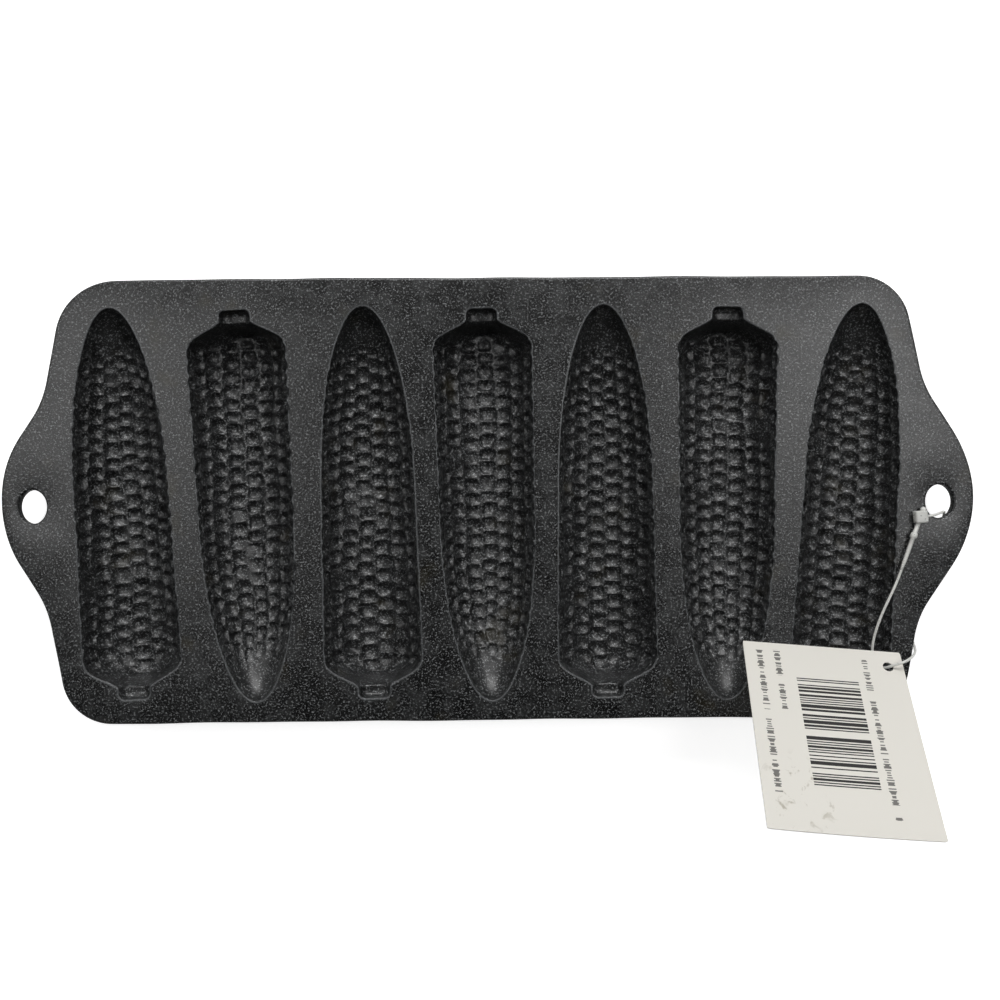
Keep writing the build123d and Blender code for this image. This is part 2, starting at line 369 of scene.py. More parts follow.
def make_iron():
    """Black satin iron on Object coordinates: sand grain partly painted as glints, rims painted lighter for wear
    and highlight.
    """
    material, tree = new_material("seasoned_cast_iron")
    place = add_node(tree, "ShaderNodeTexCoord")["Object"]
    grain = noise(tree, place, 1 / (GRAIN_WIDTH * MM), GRAIN_DETAIL, GRAIN_ROUGHNESS)
    mottle = noise(tree, place, 1 / (MOTTLE_WIDTH * MM), MOTTLE_DETAIL, MOTTLE_ROUGHNESS)
    stain = noise(tree, place, 1 / (STAIN_WIDTH * MM), STAIN_DETAIL)
    # Light points of the grain: partly its own tone, partly painted glints.
    speck_and_glint = ramp(tree, grain, *GRAIN_CUT)
    cloud = ramp(tree, mottle, *MOTTLE_CUT, smooth=False)
    light = maths(tree, "MULTIPLY_ADD", speck_and_glint, 1 - MOTTLE_SHARE, product(tree, cloud, MOTTLE_SHARE))
    base = mix(tree, light, linear(IRON_DARK), linear(IRON_SPECK_AND_GLINT))
    base = mix(tree, ramp(tree, stain, *STAIN_CUT, to_high=STAIN_STRENGTH), base, linear(IRON_STAIN))
    # Rims painted lighter, for rubbed wear and a painted highlight on the rolled edge, broken up by the grain.
    uneven = ramp(tree, speck_and_glint, 0.0, 1.0, to_low=RIM_LEAST_WEAR_AND_HIGHLIGHT, smooth=False)
    base = mix(tree, product(tree, kept_value(tree, "worn"), uneven), base, linear(IRON_WEAR_AND_HIGHLIGHT))
    gloss = maths(tree, "MULTIPLY_ADD", kept_value(tree, "inside"), CAVITY_ROUGHER,
                  ramp(tree, cloud, 0.0, 1.0, *IRON_GLOSS, smooth=False))
    return principled(material, {"Base Color": base, "Roughness": gloss, "Specular IOR Level": IRON_SHEEN,
                                 "Normal": bumps(tree, grain, GRAIN_HEIGHT, 1.0)})


iron = make_iron()
print("made", iron.name)

# %% [markdown]
# ## The cavities
# Each cavity is the print of half a cob: a long elliptic tip, a nearly straight body, a rounded
# shoulder and a short stem. Its section is a half circle, boxier at the stem. One formula gives the
# radius at every distance from the tip, and the same formula with the wall added gives the smooth
# bulge underneath. Seen from above the shoulder narrows in an S, but the cavity stays deep nearly to
# its end, and then a short steep wall rises to the stem's shallow floor: so the depth has a law of
# its own. The surface is a grid of stations along the cob and angles round it, closed to a point at
# both ends.

# %% The cob's profile
COB_RADIUS = 16.8
TIP_RADIUS = 0.955 * COB_RADIUS
TIP_LENGTH = 66.0
COB_LENGTH = 133.6
SHOULDER_LENGTH = 11.2
SHOULDER_POWERS = (3.0, 2.15)
STEM_RADIUS = 5.3
STEM_LENGTH = 3.6
STEM_CORNER = 2.0
STEM_SQUARENESS = 3.2
STEM_DEPTH_SHARE = 0.8
END_WALL_LENGTH = 3.4
WALL = 3.0
COB_END = COB_LENGTH + STEM_LENGTH
COB_MIDDLE = 69.1
SHOULDER_START = COB_LENGTH - SHOULDER_LENGTH
TIP_STEPS, SHOULDER_STEPS, CORNER_STEPS = 400, 200, 30


def cob_profile(wall, level):
    """Distances from the tip, half widths and depths, between the two places where the width is level."""
    turn = np.linspace(math.asin(level / (TIP_RADIUS + wall)), math.pi / 2, TIP_STEPS)
    tip = [TIP_LENGTH - (TIP_LENGTH + wall) * np.cos(turn), (TIP_RADIUS + wall) * np.sin(turn)]
    share = np.linspace(0, 1, SHOULDER_STEPS)
    blend = (1 - share ** SHOULDER_POWERS[0]) ** SHOULDER_POWERS[1]
    shoulder = [SHOULDER_START + wall + SHOULDER_LENGTH * share,
                STEM_RADIUS + wall + (COB_RADIUS - STEM_RADIUS) * blend]
    corner = np.linspace(0, math.pi / 2, CORNER_STEPS)
    stem = [COB_END + wall - STEM_CORNER * (1 - np.sin(corner)),
            STEM_RADIUS + wall - STEM_CORNER * (1 - np.cos(corner))]
    end = [[COB_END + wall], [level]]
    along, radius = np.concatenate([tip, shoulder, stem, end], axis=1)
    if wall > 0:
        return np.array([along, radius, radius])
    rise = np.clip((along - COB_LENGTH + END_WALL_LENGTH) / END_WALL_LENGTH, 0, 1)
    full = np.where(along < SHOULDER_START, radius, COB_RADIUS)
    stem_depth = radius.clip(max=STEM_RADIUS) * STEM_DEPTH_SHARE
    deep = stem_depth + (full - stem_depth) * (1 + np.cos(math.pi * rise)) / 2
    return np.array([along, radius, deep])


def distances(line):
    """How far along a line each of its points lies; a row of the line is one coordinate."""
    return np.concatenate([[0], np.cumsum(np.linalg.norm(np.diff(line, axis=1), axis=0))])


def even_stations(profile, count):
    """The profile again, at count + 1 places that lie evenly along it."""
    travelled = distances(profile)
    places = np.linspace(0, travelled[-1], count + 1)
    return [np.interp(places, travelled, values) for values in profile]


print("cob profile runs to", COB_END, "mm from its tip")

# %% [markdown]
# A cast edge is never sharp: the wall of a cavity rolls over into the plate. The same roll is used
# underneath, where the bulge flows into the plate's underside. It needs no bevel tool: every point
# that lies less than the roll's radius below the plate's face is pushed outwards by a quarter
# circle's law, in the direction that the outline faces in plan.

# %% A half shell with a rolled rim
STEM_BLEND_START, STEM_BLEND_LENGTH = COB_LENGTH - 3.0, 4.0
# Power on the rolled rim's share that sets the lighter rim colour: rubbed wear and a painted highlight.
RIM_WEAR_AND_HIGHLIGHT_POWER = 2.5
TINY = 1e-9


def half_shell(wall, level, count, shares, roll):
    """A grid of points over half a cob, cut off level mm below its axis, rolled outwards at its rim."""
    along, radius, deep = even_stations(cob_profile(wall, level), count)
    half_width = np.sqrt(np.maximum(radius ** 2 - level ** 2, 0))
    facing = np.stack([-np.gradient(half_width), np.gradient(along)], axis=1)
    facing /= np.maximum(np.linalg.norm(facing, axis=1), TINY)[:, None]
    facing[0], facing[-1] = (-1, 0), (1, 0)
    reach = np.arccos(np.clip(level / np.maximum(radius, level + TINY), -1, 1))
    angle = reach[:, None] * shares[None, :]
    stem = np.clip((along - STEM_BLEND_START) / STEM_BLEND_LENGTH, 0, 1)[:, None] * (wall == 0)
    power = 2 / (2 + (STEM_SQUARENESS - 2) * stem)
    across = radius[:, None] * np.sign(angle) * np.abs(np.sin(angle)) ** power
    depth = deep[:, None] * np.abs(np.cos(angle)) ** power
    short = np.clip(roll - (depth - level), 0, roll)
    push = roll - np.sqrt(np.maximum(roll ** 2 - short ** 2, 0))
    x = along[:, None] + push * facing[:, 0:1]
    y = across + push * facing[:, 1:2] * np.sin(angle) / np.maximum(np.sin(reach), TINY)[:, None]
    # over: how far into the rolled rim a point lies, which sets the rim's painted highlight and wear.
    return {"points": np.stack([x, y, -depth], axis=2), "along": along, "angle": angle,
            "half_width": half_width, "facing": facing, "over": (short / roll) ** RIM_WEAR_AND_HIGHLIGHT_POWER}


print("a cavity is at most", round(float(cob_profile(0, 0)[2].max()), 2), "mm deep")

# %% [markdown]
# The cavities lie side by side at an even pitch, with their tips turned to the near and the far edge
# by turns. The pattern was laid out by hand, so each leans and sits a little differently. A matrix
# carries one cob to its own place, and so the same points serve all seven.

# %% Where each cavity lies
COB_PITCH = 42.6
COB_SET_BACK = 1.7
COB_LEANS_DEG = (3.5, 3.1, 1.5, 1.3, 0.4, -0.5, -3.9)
COB_SHIFT_SHARES = (0.0, 0.017, 0.031, 0.007, -0.015, -0.012, 0.0)
COB_COUNT = len(COB_LEANS_DEG)


def cob_matrix(index):
    """From a cob's own frame, its tip at the origin and its axis along +X, to the pan's frame."""
    middle = COB_PITCH * (index - (COB_COUNT - 1) / 2 + COB_SHIFT_SHARES[index])
    side = -90 if index % 2 == 0 else 90
    turn = Matrix.Rotation(math.radians(COB_LEANS_DEG[index] + side), 4, "Z")
    start = Matrix.Translation((-COB_MIDDLE, 0, 0))
    return np.array(Matrix.Translation((middle, -COB_SET_BACK, PLATE_TOP)) @ turn @ start)


print("cavities:", COB_COUNT)

# %% [markdown]
# Both sides of a cavity are grids that close to a point at each end. Their rows crowd near the rim,
# where the surface turns fast. A subdivided cube could be shaped as well, but its points would not
# follow the cob.

# %% Rows and faces of a grid
def row_shares(count, near_rim):
    """Shares of the way from the bottom of a cavity to its rims, both sides, closer near the rims."""
    half = np.concatenate([np.linspace(0, near_rim[0], count)[:-1], near_rim])
    return np.concatenate([-half[:0:-1], half])


def grid_faces(stations, rows, first, flipped):
    """Faces of a grid whose first and last stations are single points; first is its first vertex."""
    last = first + 1 + (stations - 1) * rows
    inner = first + 1 + np.arange((stations - 1) * rows).reshape(stations - 1, rows)
    quads = np.stack([inner[:-1, :-1], inner[1:, :-1], inner[1:, 1:], inner[:-1, 1:]], axis=2).reshape(-1, 4)
    near = np.stack([np.full(rows - 1, first), inner[0, :-1], inner[0, 1:]], axis=1)
    far = np.stack([inner[-1, :-1], np.full(rows - 1, last), inner[-1, 1:]], axis=1)
    faces = quads.tolist() + near.tolist() + far.tolist()
    rim = [first, *inner[:, -1].tolist(), last, *inner[::-1, 0].tolist()]
    if flipped:
        faces = [face[::-1] for face in faces]
    return faces, rim


def flat_grid(grid):
    """The grid's points as one list, with each closed end kept once."""
    return np.concatenate([grid[0, :1], grid[1:-1].reshape(-1, grid.shape[2]), grid[-1, :1]])


def outline_round(shell, offset):
    """The closed outline of a half shell in plan, moved outwards by offset, tip first."""
    side = np.stack([shell["along"], shell["half_width"]], axis=1) + offset * shell["facing"]
    back = side[-2:0:-1] * (1, -1)
    return np.concatenate([side, back])


print("a grid of 3 stations and 3 rows closes with", len(grid_faces(3, 3, 0, False)[0]), "faces")

# %% [markdown]
# The cavity is a closed shell that fits a hole in the plate like a plug: the inner grid, a narrow
# flange level with the plate, a wall down to the plate's underside, and the bulge below. Splitting
# the casting in this way keeps each mesh light enough, and the flange meets the plate on the same
# points, so no seam shows.

# %% Build one cavity's mesh
INNER_STATIONS = 460
OUTER_STATIONS = INNER_STATIONS // 4
FLANGE = 0.9
RIM_ROLL = 0.45
UNDER_ROLL = 1.0
INNER_ROWS = 76
INNER_RIM_ROWS = (0.968, 0.978, 0.9855, 0.9905, 0.9945, 0.9975, 1.0)
OUTER_ROWS = 20
OUTER_RIM_ROWS = (0.9, 0.95, 0.98, 1.0)


def cavity_mesh_parts():
    """Everything that the seven cavities share: points, faces and the values kept on the points."""
    inner_rows = row_shares(INNER_ROWS, INNER_RIM_ROWS)
    outer_rows = row_shares(OUTER_ROWS, OUTER_RIM_ROWS)
    inner = half_shell(0, 0, INNER_STATIONS, inner_rows, RIM_ROLL)
    outer = half_shell(WALL, PLATE_THICKNESS, OUTER_STATIONS, outer_rows, UNDER_ROLL)
    outer["points"][..., 2] = np.maximum(outer["points"][..., 2], -PLATE_TOP)
    inner_points = flat_grid(inner["points"])
    edge = outline_round(inner, FLANGE)
    flange_top = np.column_stack([edge, np.zeros(len(edge))])
    flange_bottom = np.column_stack([edge, np.full(len(edge), -PLATE_THICKNESS)])
    outer_points = flat_grid(outer["points"])
    starts = np.cumsum([0, len(inner_points), len(edge), len(edge)])
    faces, rim = grid_faces(INNER_STATIONS, len(inner_rows), 0, False)
    top = list(range(starts[1], starts[2]))
    bottom = list(range(starts[2], starts[3]))
    outer_faces, outer_rim = grid_faces(OUTER_STATIONS, len(outer_rows), int(starts[3]), True)
    count = len(edge)
    for k in range(count):
        after = (k + 1) % count
        faces.append([rim[k], rim[after], top[after], top[k]])
        faces.append([top[k], top[after], bottom[after], bottom[k]])
    ratio = INNER_STATIONS // OUTER_STATIONS
    for k in range(len(outer_rim)):
        near = [bottom[(k * ratio + step) % count] for step in range(ratio + 1)]
        faces.append([*near, outer_rim[(k + 1) % len(outer_rim)], outer_rim[k]])
    faces += outer_faces
    points = np.concatenate([inner_points, flange_top, flange_bottom, outer_points])
    angles = flat_grid(inner["angle"][..., None])[:, 0]
    # The rolled rim's share, kept as 'worn': where the rim is painted lighter for rubbed wear and a painted
    # highlight.
    worn = flat_grid(inner["over"][..., None])[:, 0]
    return points, faces, angles, worn, edge


cob_points, cob_faces, cob_angles, cob_wear_and_highlight, cob_edge = cavity_mesh_parts()
print("one cavity:", len(cob_points), "points and", len(cob_faces), "faces")

# %% [markdown]
# ## Kernels
# The cavity's wall is covered with the prints of kernels: rounded, slightly uneven cups in rows of
# sixteen round a whole cob, with narrow ridges between them. They could be a texture, but they show
# in outline at the rim, so they are real relief. A Geometry Nodes tree moves each point outwards by
# the depth of its cup. For this each point keeps how far along and round the cob it lies, how far
# below the rim, and which way is out.

# %% Points know where they lie on the cob
def store(mesh, name, kind, values):
    """Keeps one value per point on a mesh."""
    key = "vector" if kind == "FLOAT_VECTOR" else "value"
    attribute = mesh.attributes.new(name, kind, "POINT")
    attribute.data.foreach_set(key, np.asarray(values, np.float32).ravel())


def cavity_mesh(index):
    """The plain mesh of one cavity in the pan's frame, with the values that the kernels need."""
    matrix = cob_matrix(index)
    placed = (cob_points @ matrix[:3, :3].T + matrix[:3, 3]) * MM
    mesh = new_mesh(f"cavity_{index + 1}", placed.tolist(), cob_faces)
    kernel_points = len(cob_angles)
    side = np.zeros_like(cob_points)
    side[:kernel_points, 1] = np.sin(cob_angles)
    side[:kernel_points, 2] = -np.cos(cob_angles)
    around, worn, within = np.zeros((3, len(cob_points)))
    around[:kernel_points] = np.degrees(cob_angles)
    worn[:kernel_points] = cob_wear_and_highlight
    within[:kernel_points] = 1
    # 'worn' marks the rim that the iron paints lighter, for rubbed wear and a painted highlight.
    values = {"worn": worn, "along": cob_points[:, 0], "around": around, "below": -cob_points[:, 2],
              "inside": within}
    for name, numbers in values.items():
        store(mesh, name, "FLOAT", numbers)
    store(mesh, "outward", "FLOAT_VECTOR", side @ matrix[:3, :3].T)
    return mesh


print("each cavity keeps six values on its points")

# %% [markdown]
# The tree finds a point's cell by dividing its place along and round the cob by the pitch. Slow
# drifts bend the rows, each row starts at its own place, and each cell is pressed to its own depth,
# as in a pattern that was cut by hand. The numbers are inputs of the tree, so that one tree serves
# seven cavities that differ.

# %% The kernel tree's inputs
KERNEL_INPUTS = {
    "Row Angle": 22.5,
    "Row Phase": 0.0,
    "Row Sway": 0.35,
    "Pitch": 5.05,
    "Cell Sway": 0.35,
    "Depth": 1.25,
    "Squareness": 2.8,
    "Bowl": 2.4,
    "Unevenness": 0.4,
    "Worn Share": 0.35,
    "Tip Start": 8.0,
    "Tip Full": 24.0,
    "Shoulder Full": 125.5,
    "Shoulder End": 130.5,
    "Rim Share": 0.45,
    "Rim Depth": 3.0,
    "Seed": 1.0,
}
SWAY_LENGTH, SWAY_ANGLE = 16.0, 70.0
CREEP_LENGTH, CREEP_ROWS = 8.0, 0.3
PATCH_LENGTH, PATCH_ANGLE = 15.0, 50.0
PATCH_CUT = (-0.42, -0.12)
ROW_STAGGER, CHANCE_STAGGER = 0.5, 0.35
SEED_STEP = 7.3


def kernel_inputs(tree):
    """Gives the tree its named inputs and returns their sockets inside it."""
    new_socket = tree.interface.new_socket
    new_socket("Geometry", in_out="INPUT", socket_type="NodeSocketGeometry")
    for name, value in KERNEL_INPUTS.items():
        new_socket(name, in_out="INPUT", socket_type="NodeSocketFloat").default_value = value
    new_socket("Iron", in_out="INPUT", socket_type="NodeSocketMaterial")
    new_socket("Geometry", in_out="OUTPUT", socket_type="NodeSocketGeometry")
    return add_node(tree, "NodeGroupInput")


def kept_input(tree, name, kind="FLOAT"):
    """The value of this name that a mesh keeps on its points, for Geometry Nodes."""
    return add_node(tree, "GeometryNodeInputNamedAttribute", {"Name": name}, data_type=kind)[0]


def chance_nodes(tree, *keys):
    """The random outputs that belong to up to three keys."""
    return add_node(tree, "ShaderNodeTexWhiteNoise", {"Vector": joined(tree, *keys)}, noise_dimensions="3D")


def drift_nodes(tree, first, first_size, second, second_size, seed):
    """Smooth noise from about -1 to 1 over two measures, each divided by the size of its swells."""
    spots = [maths(tree, "DIVIDE", first, first_size), maths(tree, "DIVIDE", second, second_size),
             maths(tree, "MULTIPLY", seed, SEED_STEP)]
    return maths(tree, "MULTIPLY_ADD", noise(tree, joined(tree, *spots), 1.0, 1.0), 2.0, -1.0)


print("kernel inputs:", ", ".join(KERNEL_INPUTS))

# %% Cells: which kernel a point belongs to, and where it lies in it
def cell_nodes(tree, given):
    """For each point: along, around, its place in its cell from -1 to 1 both ways, and a random number."""
    along, around = kept_input(tree, "along"), kept_input(tree, "around")
    phased = maths(tree, "ADD", maths(tree, "DIVIDE", around, given["Row Angle"]), given["Row Phase"])
    sway = drift_nodes(tree, along, SWAY_LENGTH, around, SWAY_ANGLE, given["Seed"])
    swayed = maths(tree, "MULTIPLY_ADD", sway, given["Row Sway"], phased)
    centred = maths(tree, "ADD", swayed, 0.5)
    row = maths(tree, "FLOOR", centred)
    row_chance = chance_nodes(tree, row, given["Seed"])["Value"]
    stagger = maths(tree, "MULTIPLY_ADD", row_chance, CHANCE_STAGGER, product(tree, row, ROW_STAGGER))
    creep = drift_nodes(tree, along, CREEP_LENGTH, row, CREEP_ROWS, given["Seed"])
    steps = maths(tree, "DIVIDE", along, given["Pitch"])
    crept = maths(tree, "MULTIPLY_ADD", creep, given["Cell Sway"], steps)
    staggered = maths(tree, "ADD", crept, stagger)
    chances = chance_nodes(tree, row, maths(tree, "FLOOR", staggered), given["Seed"])["Color"]
    chance = parted(tree, chances)[2]
    wide, long = [maths(tree, "MULTIPLY_ADD", maths(tree, "FRACT", count), 2.0, -1.0)
                  for count in (centred, staggered)]
    return along, around, wide, long, chance


print("a cell is", KERNEL_INPUTS["Pitch"], "mm long and", KERNEL_INPUTS["Row Angle"], "degrees wide")

# %% Cups, their depth and where they fade
def cup_nodes(tree, given, wide, long):
    """The shape of the cup at each point, from 0 at its border to 1 in its middle."""
    powers = [maths(tree, "POWER", maths(tree, "ABSOLUTE", side), given["Squareness"])
              for side in (wide, long)]
    root = maths(tree, "DIVIDE", given["Bowl"], given["Squareness"])
    reach = maths(tree, "POWER", maths(tree, "ADD", *powers), root)
    return maths(tree, "SUBTRACT", 1.0, reach, clamp=True)


def depth_nodes(tree, given, along, around, chance):
    """How deep a cell is pressed: uneven from cell to cell, and shallow in worn patches."""
    share = maths(tree, "SUBTRACT", chance, 0.5)
    uneven = maths(tree, "MULTIPLY_ADD", share, given["Unevenness"], 1.0)
    patch = drift_nodes(tree, along, PATCH_LENGTH, around, PATCH_ANGLE, given["Seed"])
    worn = ramp(tree, patch, *PATCH_CUT, to_low=given["Worn Share"])
    return product(tree, uneven, worn, maths(tree, "MULTIPLY", given["Depth"], MM))


def fade_nodes(tree, given, along):
    """How much of the relief a point gets: none at the tip and shoulder, and less at the rim."""
    start = ramp(tree, along, given["Tip Start"], given["Tip Full"])
    end = ramp(tree, along, given["Shoulder End"], given["Shoulder Full"])
    rim = ramp(tree, kept_input(tree, "below"), 0.0, given["Rim Depth"], to_low=given["Rim Share"])
    return product(tree, start, end, rim, kept_input(tree, "inside"))


print("a cup is about", KERNEL_INPUTS["Depth"], "mm deep")

# %% The whole kernel tree
def kernel_tree():
    """Cells, cups and fades, then the move, real geometry and the iron."""
    tree = bpy.data.node_groups.new("kernel_prints", "GeometryNodeTree")
    given = kernel_inputs(tree)
    along, around, wide, long, chance = cell_nodes(tree, given)
    shaped = product(tree, cup_nodes(tree, given, wide, long), fade_nodes(tree, given, along))
    metres = product(tree, shaped, depth_nodes(tree, given, along, around, chance))
    outward_way = kept_input(tree, "outward", "FLOAT_VECTOR")
    offset = vector_maths(tree, "SCALE", {0: outward_way, "Scale": metres})[0]
    moved = add_node(tree, "GeometryNodeSetPosition", {"Geometry": given["Geometry"], "Offset": offset})
    real = add_node(tree, "GeometryNodeRealizeInstances", {0: moved[0]})
    dressed = add_node(tree, "GeometryNodeSetMaterial", {"Geometry": real[0], "Material": given["Iron"]})
    add_node(tree, "NodeGroupOutput", {0: dressed[0]})
    return tree


kernels = kernel_tree()
print("kernel tree of", len(kernels.nodes), "nodes")

# %% [markdown]
# Each cavity runs the tree once, with its own row width, phase and seed, and keeps the result as its
# mesh. A live modifier would do as well, but plain meshes open quickly in any other file.

# %% Press the kernels into each cavity
SMOOTH_ANGLE = math.radians(62)
ROW_PHASES = (0.2, 0.0, 0.5, 0.1, 0.3, 0.0, 0.42)
ROW_ANGLES = (22.5, 22.6, 22.6, 22.3, 23.4, 22.4, 24.2)


def with_nodes(piece, tree, values):
    """Runs a Geometry Nodes tree on a piece with these inputs and keeps the result as its mesh."""
    modifier = piece.modifiers.new(tree.name, "NODES")
    modifier.node_group = tree
    sockets = {item.name: item.identifier for item in tree.interface.items_tree if item.in_out == "INPUT"}
    for name, value in values.items():
        modifier[sockets[name]] = value
    graph = bpy.context.evaluated_depsgraph_get()
    result = bpy.data.meshes.new_from_object(piece.evaluated_get(graph))
    piece.modifiers.remove(modifier)
    result.name = piece.name
    piece.data = result
    return piece


cavities = []
for index in range(COB_COUNT):
    cavity = add_piece(f"cavity_{index + 1}", cavity_mesh(index))
    inputs = {"Row Phase": ROW_PHASES[index], "Row Angle": ROW_ANGLES[index],
              "Seed": float(index + 1), "Iron": iron}
    with_nodes(cavity, kernels, inputs)
    smooth_shade(cavity.data, SMOOTH_ANGLE)
    cavities.append(cavity)
print("cavities with kernels:", ", ".join(cavity.name for cavity in cavities))

# %% [markdown]
# ## Outlines
# The plate and the card are flat, so each is an outline seen from above that is given a thickness.
# An outline here is a closed list of points: corners with an arc in each, then spaced evenly.

# %% Helpers for outlines
def rounded_loop(corners, radii, step):
    """A closed outline through corners with an arc in each, as evenly spaced points."""
    loop = []
    count = len(corners)
    for k in range(count):
        corner = Vector(corners[k])
        before = (Vector(corners[k - 1]) - corner).normalized()
        after = (Vector(corners[(k + 1) % count]) - corner).normalized()
        half = before.angle(after) / 2
        centre = corner + (before + after).normalized() * (radii[k] / math.sin(half))
        start = corner + before * (radii[k] / math.tan(half)) - centre
        sweep = math.pi - 2 * half
        sense = 1 if before.x * after.y - before.y * after.x < 0 else -1
        pieces = max(2, round(sweep * radii[k] / step))
        for piece in range(pieces + 1):
            arm = start.copy()
            arm.rotate(Matrix.Rotation(sense * sweep * piece / pieces, 2))
            loop.append(centre + arm)
    return np.array([tuple(point) for point in loop])


def even_loop(loop, step):
    """The same closed outline with points evenly spaced all the way round."""
    closed = np.concatenate([loop, loop[:1]]).T
    places = round(distances(closed)[-1] / step)
    return np.column_stack(even_stations(closed, places))[:-1]


def outward(loop):
    """The direction that a counter-clockwise loop faces at each point."""
    along = np.roll(loop, -1, axis=0) - np.roll(loop, 1, axis=0)
    facing = np.column_stack([along[:, 1], -along[:, 0]])
    return facing / np.linalg.norm(facing, axis=1)[:, None]


square = rounded_loop([(0, 0), (10, 0), (10, 10), (0, 10)], [2.0] * 4, 0.5)
print("a 10 mm square with 2 mm corners has", len(even_loop(square, 1.0)), "points, 1 mm apart")

# %% [markdown]
# ## The plate
# The plate is flat on both sides, with a rounded edge all round, an ear at each end and an oval
# hole in each ear. Its outline is ten corners with arcs in them. Its holes could be cut with
# booleans, but then its points would not meet the flanges, so its faces are triangulated instead.

# %% The plate's outline
PLATE_LENGTH, PLATE_WIDTH = 340.0, 155.0
EAR_SLANT_DEG, FLANK_LEAN_DEG = 33.0, 11.0
EAR_ROOT_WIDTH = 76.5
CORNER_RADIUS, EAR_ROOT_RADIUS, EAR_TIP_RADIUS = 18.0, 35.0, 43.0
FAR_LEFT_RADIUS = 22.0
CORNER_SHIFTS = ((-0.8, 0.0), (-2.0, -5.0), (1.1, -0.6), (0.6, 0.0), (0.4, 0.0),
                 (-1.8, 0.0), (-2.0, -3.0), (-0.3, 0.0), (-0.6, 0.0), (-0.7, -1.0))
EDGE_WAVES = ((3, 0.10, 0.4), (7, 0.10, 2.1), (16, 0.08, 5.0), (29, 0.06, 1.2))
EDGE_ROLL = 1.0
OUTLINE_STEP = 1.2


def plate_corners():
    """The ten corners of the plate before they are rounded, and their radii, counter-clockwise."""
    slant, lean = math.radians(EAR_SLANT_DEG), math.radians(FLANK_LEAN_DEG)
    apex = PLATE_LENGTH / 2 + EAR_TIP_RADIUS * (1 / math.cos(slant) - 1)
    root_x = apex - EAR_ROOT_WIDTH / 2 * math.tan(slant)
    corner_x = root_x - (PLATE_WIDTH - EAR_ROOT_WIDTH) / 2 * math.tan(lean)
    right = [(corner_x, -PLATE_WIDTH / 2), (root_x, -EAR_ROOT_WIDTH / 2), (apex, 0),
             (root_x, EAR_ROOT_WIDTH / 2), (corner_x, PLATE_WIDTH / 2)]
    radii = [CORNER_RADIUS, EAR_ROOT_RADIUS, EAR_TIP_RADIUS, EAR_ROOT_RADIUS, CORNER_RADIUS]
    corners = np.array(right + [(-x, -y) for x, y in right]) + CORNER_SHIFTS
    return corners.tolist(), radii + [FAR_LEFT_RADIUS] + radii[1:]


def wavy(loop):
    """The same outline, slightly uneven all the way round, as a sand casting's edge is."""
    round_ = 2 * math.pi * np.arange(len(loop)) / len(loop)
    swell = sum(height * np.sin(count * round_ + start) for count, height, start in EDGE_WAVES)
    return loop + outward(loop) * swell[:, None]


plate_loop = wavy(even_loop(rounded_loop(*plate_corners(), OUTLINE_STEP), OUTLINE_STEP))
print("plate outline of", len(plate_loop), "points")

# %% [markdown]
# The body of the plate is built from its loops. Each loop gets rings of points over its rounded edge
# and down its side, and the two faces are filled between the rings. What the triangulation puts
# inside a hole is taken out again.

# %% Rounded edges and holes
ROLL_STEPS = 5


def edge_rows(loop, roll, top, bottom):
    """Rings of points from the top face over a rounded edge to the bottom face."""
    if roll == 0:
        steps = [(0, top), (0, bottom)]
    else:
        turns = [math.pi / 2 * k / ROLL_STEPS for k in range(ROLL_STEPS + 1)]
        over = [(roll * (math.sin(t) - 1), top - roll * (1 - math.cos(t))) for t in turns]
        under = [(inset, bottom + top - height) for inset, height in reversed(over)]
        steps = over + under
    facing = outward(loop)
    return [np.column_stack([loop + inset * facing, np.full(len(loop), height)]) for inset, height in steps]


def inside(loop, spots):
    """Which of the spots lie inside a closed loop, by counting how often a ray to the right crosses it."""
    x, y = spots[:, 0:1], spots[:, 1:2]
    x0, y0 = loop.T
    x1, y1 = np.roll(loop, -1, axis=0).T
    crosses = (y0 > y) != (y1 > y)
    rise = np.where(y1 == y0, 1.0, y1 - y0)
    return (crosses & (x < x0 + (y - y0) * (x1 - x0) / rise)).sum(axis=1) % 2 == 1


print("a rounded edge has", 2 * (ROLL_STEPS + 1), "rings of points")

# %% Fill between loops and close the sides
FILL_MODE, FILL_NEAR = 1, 1e-6


def slab(outline, holes, top, bottom, extra=()):
    """Points and faces of a closed flat body; outline and holes are (loop, roll) pairs."""
    points, faces, top_rings, bottom_rings = [], [], [], []
    for loop, roll in [outline, *holes]:
        first = len(points)
        count = len(loop)
        rows = edge_rows(loop, roll, top, bottom)
        for row in rows:
            points.extend(row.tolist())
        for r in range(len(rows) - 1):
            for k in range(count):
                after = (k + 1) % count
                a, b = first + r * count + k, first + r * count + after
                faces.append([a, a + count, b + count, b])
        top_rings.append(list(range(first, first + count)))
        bottom_rings.append(list(range(len(points) - count, len(points))))
    for rings, height, flipped in ((top_rings, top, False), (bottom_rings, bottom, True)):
        names = [name for ring in rings for name in ring]
        flat = [Vector(points[name][:2]) for name in names]
        for place in extra:
            names.append(len(points))
            points.append([*place, height])
            flat.append(Vector(place))
        edges, start = [], 0
        for ring in rings:
            edges += [(start + k, start + (k + 1) % len(ring)) for k in range(len(ring))]
            start += len(ring)
        filled = delaunay_2d_cdt(flat, edges, [], FILL_MODE, FILL_NEAR)
        sheet = np.array([[filled[3][corner][0] for corner in face] for face in filled[2]])
        middles = np.array([tuple(spot) for spot in flat])[sheet].mean(axis=1)
        kept = np.ones(len(sheet), bool)
        for ring in rings[1:]:
            kept &= ~inside(np.array([points[name][:2] for name in ring]), middles)
        for face in sheet[kept]:
            corners = [names[corner] for corner in face]
            faces.append(corners[::-1] if flipped else corners)
    return np.array(points), faces


